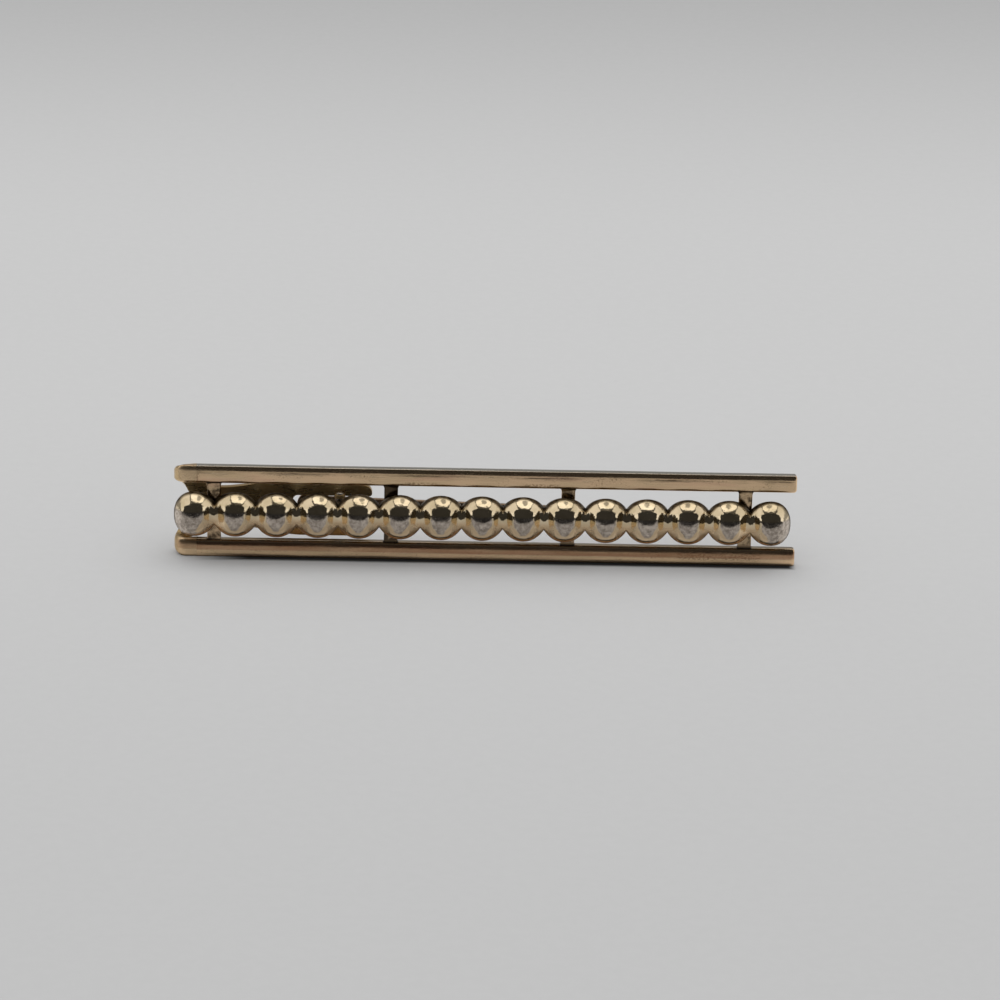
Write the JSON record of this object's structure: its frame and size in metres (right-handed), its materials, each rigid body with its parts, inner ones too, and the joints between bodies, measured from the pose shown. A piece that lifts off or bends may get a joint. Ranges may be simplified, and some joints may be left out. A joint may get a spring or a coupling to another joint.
{
  "type": "tie bar",
  "caption": "Openwork gold-tone tie bar: slim rails joined by cross bars, a strip of round domes, a folded back leaf and a sprung grip arm that opens on a pin.",
  "frame": {"origin": "below the middle of the bounding box, on the plane of the lower rail's long bottom edge", "axes": "+X along the bar from the folded end to the free end, +Z across the bar's width from the lower to the upper rail, the domes face -Y"},
  "size_m": [0.0636, 0.006, 0.0097],
  "materials": {
    "rail_gold": "polished rolled gold, slightly pink, fine wear",
    "dome_gold": "bright polished pale gold sheet",
    "leaf_brass": "olive gold sheet, satin with scratches",
    "arm_brass": "satin spring brass",
    "pin_steel": "dull steel, peened ends",
    "spring_steel": "drawn steel wire"
  },
  "bodies": {
    "frame": {"upper_rail": "rail_gold", "lower_rail": "rail_gold", "cross_bar_1": "rail_gold", "cross_bar_2": "rail_gold", "cross_bar_3": "rail_gold", "cross_bar_4": "rail_gold", "bead_strip": "dome_gold", "back_leaf": "leaf_brass", "hinge_pin": "pin_steel", "torsion_spring": "spring_steel"},
    "arm": {"grip_arm": "arm_brass"}
  },
  "joints": [
    {"name": "grip_hinge", "type": "hinge", "parent": "frame", "child": "arm", "pos_m": [-0.01485, 0.00138, 0.00487], "axis": [0, 0, 1], "range_deg": [0, 11], "stiffness_Nm_per_rad": 0.002, "springref_deg": -22.92, "deforming": ["torsion_spring"]}
  ]
}
